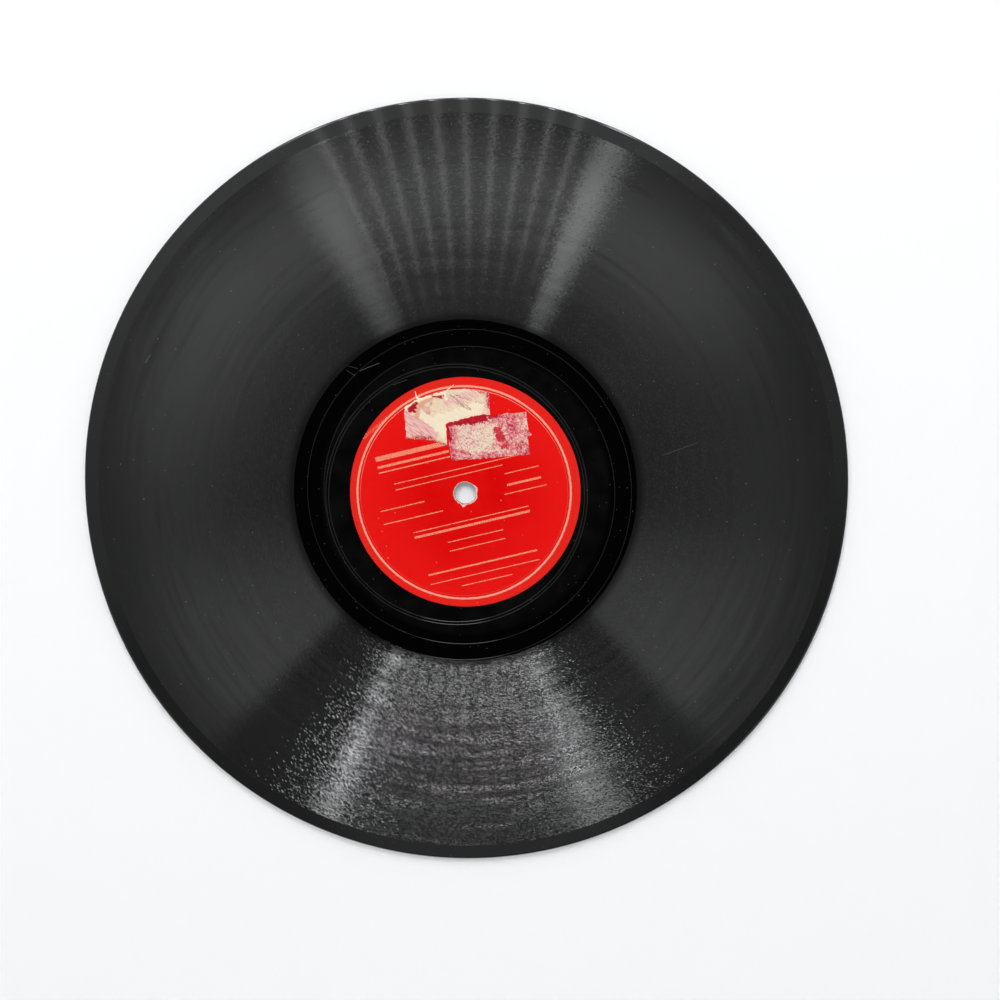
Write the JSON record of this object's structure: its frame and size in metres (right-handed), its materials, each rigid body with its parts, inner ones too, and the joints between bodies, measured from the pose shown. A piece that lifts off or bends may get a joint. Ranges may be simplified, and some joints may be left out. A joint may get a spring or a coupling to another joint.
{
  "type": "shellac record",
  "caption": "Flat laminated shellac disc record with fine grooves, an eccentric run-out, red paper labels and a spindle hole, played on a turntable.",
  "frame": {"origin": "on the spindle axis, in the plane of side B's lands, on which the record rests", "axes": "+Z along the spindle axis out of side A, +Y towards the top of side A's label"},
  "size_m": [0.2508, 0.2508, 0.0022],
  "materials": {
    "shellac": "gloss",
    "core_compound": "matte",
    "kraft_paper": "matte",
    "label_paper": "satin",
    "sticker_paper": "matte"
  },
  "bodies": {
    "root": {"core_disc": "core_compound", "side_a_paper_sheet": "kraft_paper", "side_b_paper_sheet": "kraft_paper", "side_a_facing": "shellac", "side_b_facing": "shellac", "side_a_label": "label_paper", "side_b_label": "label_paper", "upper_sticker_scrap": "sticker_paper", "lower_sticker_scrap": "sticker_paper"}
  },
  "joints": []
}
